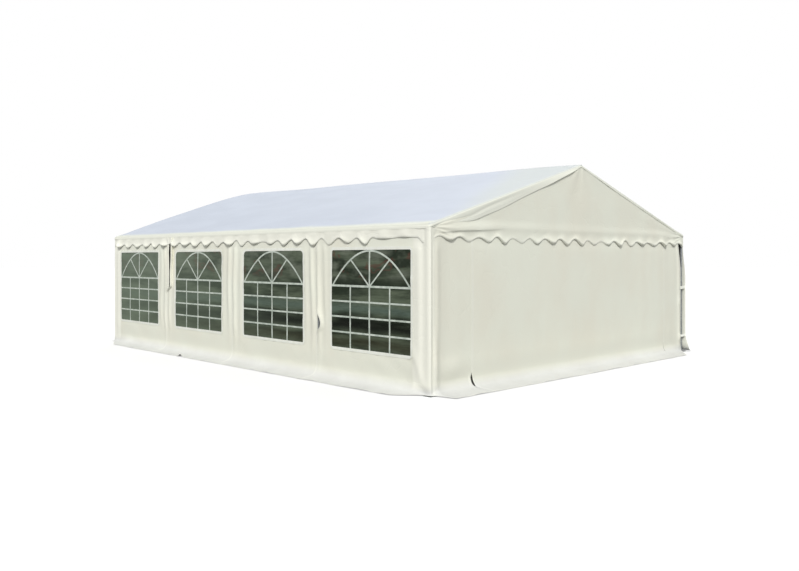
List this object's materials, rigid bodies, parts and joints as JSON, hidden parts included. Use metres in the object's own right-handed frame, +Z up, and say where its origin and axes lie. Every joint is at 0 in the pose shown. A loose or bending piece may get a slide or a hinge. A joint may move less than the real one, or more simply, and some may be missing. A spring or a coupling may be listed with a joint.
{
  "type": "marquee tent",
  "caption": "Long gabled party marquee: bolted steel tube frame, fabric roof with a scalloped valance, and hanging fabric walls with large see-through windows.",
  "frame": {"origin": "on the ground, under the middle of the ridge", "axes": "+X along the ridge towards the gable end on the right, +Z up; the front long wall faces -Y"},
  "size_m": [8.5534, 6.5534, 2.8],
  "materials": {
    "frame_steel": "galvanised",
    "roof_fabric": "coated, semi-matt, bluish white",
    "wall_fabric": "coated, semi-matt, cream white",
    "window_film": "clear glossy film, dark from outside"
  },
  "bodies": {
    "root": {"back_eave_purlin": "frame_steel", "back_leg_1": "frame_steel", "back_leg_2": "frame_steel", "back_leg_3": "frame_steel", "back_leg_4": "frame_steel", "back_leg_5": "frame_steel", "back_mid_purlin": "frame_steel", "back_rafter_1": "frame_steel", "back_rafter_2": "frame_steel", "back_rafter_3": "frame_steel", "back_rafter_4": "frame_steel", "back_rafter_5": "frame_steel", "back_valance": "roof_fabric", "back_wall_panel_1": "wall_fabric", "back_wall_panel_2": "wall_fabric", "back_wall_panel_3": "wall_fabric", "back_wall_panel_4": "wall_fabric", "back_window_film_1": "window_film", "back_window_film_2": "window_film", "back_window_film_3": "window_film", "back_window_film_4": "window_film", "front_eave_purlin": "frame_steel", "front_leg_1": "frame_steel", "front_leg_2": "frame_steel", "front_leg_3": "frame_steel", "front_leg_4": "frame_steel", "front_leg_5": "frame_steel", "front_mid_purlin": "frame_steel", "front_rafter_1": "frame_steel", "front_rafter_2": "frame_steel", "front_rafter_3": "frame_steel", "front_rafter_4": "frame_steel", "front_rafter_5": "frame_steel", "front_valance": "roof_fabric", "front_wall_panel_1": "wall_fabric", "front_wall_panel_2": "wall_fabric", "front_wall_panel_3": "wall_fabric", "front_wall_panel_4": "wall_fabric", "front_window_film_1": "window_film", "front_window_film_2": "window_film", "front_window_film_3": "window_film", "front_window_film_4": "window_film", "left_end_bar": "frame_steel", "left_end_wall": "wall_fabric", "left_gable": "wall_fabric", "ridge_purlin": "frame_steel", "right_end_bar": "frame_steel", "right_end_wall": "wall_fabric", "right_gable": "wall_fabric", "roof_cover_back": "roof_fabric", "roof_cover_front": "roof_fabric"}
  },
  "joints": []
}
